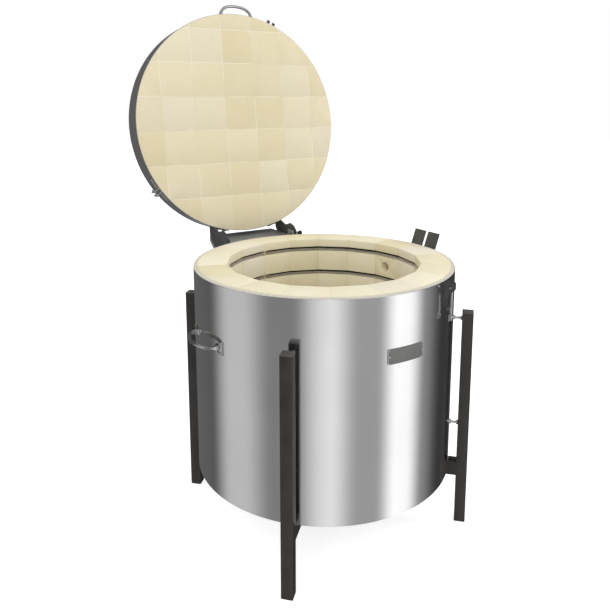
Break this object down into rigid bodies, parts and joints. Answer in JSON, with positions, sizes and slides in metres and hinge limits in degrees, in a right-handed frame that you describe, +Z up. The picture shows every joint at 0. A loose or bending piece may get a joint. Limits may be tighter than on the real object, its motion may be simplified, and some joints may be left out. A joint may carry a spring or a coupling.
{
  "type": "electric kiln",
  "caption": "Round top-loading electric kiln with a many-sided brick chamber, coil grooves, tilting lid, swing bolt latch and a stand of square legs.",
  "frame": {"origin": "point on the floor under the drum's axis, at the level of the feet", "axes": "+Z up along the drum's axis, front with the badge plate at -Y, hinge and electrical box at +Y, +X to the right seen from the front"},
  "size_m": [0.7144, 0.8725, 1.3237],
  "materials": {
    "polished_steel": "mirror polished stainless sheet",
    "firebrick": "matt insulating firebrick",
    "lid_firebrick": "matt insulating firebrick, tiles of slightly different tone",
    "fibre": "ceramic fibre blanket",
    "fibre_board": "pressed fibre board",
    "galvanised_sheet": "galvanised sheet",
    "heating_wire": "oxidised heating wire",
    "ceramic": "dense white ceramic",
    "grey_paint": "satin grey powder coat",
    "dark_paint": "satin dark powder coat",
    "leg_paint": "satin black powder coat",
    "badge_black": "black anodised plate with a bright border",
    "bright_steel": "zinc plated steel",
    "chrome": "polished chrome",
    "black_plastic": "matt"
  },
  "bodies": {
    "kiln": {"badge_plate": "badge_black", "badge_rivets": "bright_steel", "base_plate": "galvanised_sheet", "cable_gland": "black_plastic", "carrier_screws": "bright_steel", "coil_leads": "heating_wire", "console_screws": "bright_steel", "controller_holder": "dark_paint", "cover_screws": "bright_steel", "floor_board": "fibre_board", "floor_tiles": "firebrick", "handle_screws": "bright_steel", "heating_coils": "heating_wire", "hinge_bolts": "bright_steel", "hinge_console": "grey_paint", "hinge_nuts": "bright_steel", "hinge_washers": "bright_steel", "holder_screws": "bright_steel", "insulation_blanket": "fibre", "jacket": "polished_steel", "latch_base": "dark_paint", "latch_pin": "bright_steel", "latch_screws": "bright_steel", "lead_sleeves": "ceramic", "leg_back_left": "leg_paint", "leg_back_right": "leg_paint", "leg_caps": "leg_paint", "leg_feet": "leg_paint", "leg_front_left": "leg_paint", "leg_front_right": "leg_paint", "port_sleeve": "ceramic", "side_handle_left": "chrome", "side_handle_right": "chrome", "terminal_blocks": "ceramic", "terminal_box": "grey_paint", "terminal_cover": "grey_paint", "thermocouple": "ceramic", "tie_rods": "bright_steel", "wall_bricks": "firebrick"},
    "lid": {"lid_tiles": "lid_firebrick", "lid_band": "polished_steel", "lid_handle": "chrome", "lid_handle_screws": "bright_steel", "lid_rivets": "bright_steel", "band_clamp": "bright_steel", "clamp_screw": "bright_steel", "hinge_arm_left": "dark_paint", "hinge_arm_right": "dark_paint", "arm_screws": "bright_steel", "lock_collar": "bright_steel", "lid_fork": "dark_paint"},
    "lock_pin": {"lock_knob": "black_plastic"},
    "latch_bolt": {"swing_bolt": "bright_steel"},
    "latch_nut": {"wing_nut": "bright_steel"},
    "plug": {"port_plug": "ceramic"}
  },
  "joints": [
    {"name": "lid_hinge", "type": "hinge", "parent": "kiln", "child": "lid", "pos_m": [0, 0.366, 0.617], "axis": [1, 0, 0], "range_deg": [0, 97]},
    {"name": "lock_pin_slide", "type": "slide", "parent": "lid", "child": "lock_pin", "axis": [1, 0, 0], "range_m": [-0.006, 0]},
    {"name": "latch_swing", "type": "hinge", "parent": "kiln", "child": "latch_bolt", "pos_m": [0.14158, -0.30361, 0.636], "axis": [-0.9063, -0.4226, 0], "range_deg": [0, 180]},
    {"name": "wing_nut_turn", "type": "hinge", "parent": "latch_bolt", "child": "latch_nut", "pos_m": [0.14158, -0.30361, 0.57], "axis": [0, 0, 1], "continuous": true},
    {"name": "port_plug_pull", "type": "slide", "parent": "kiln", "child": "plug", "axis": [1, 0, 0], "range_m": [0, 0.08]}
  ]
}
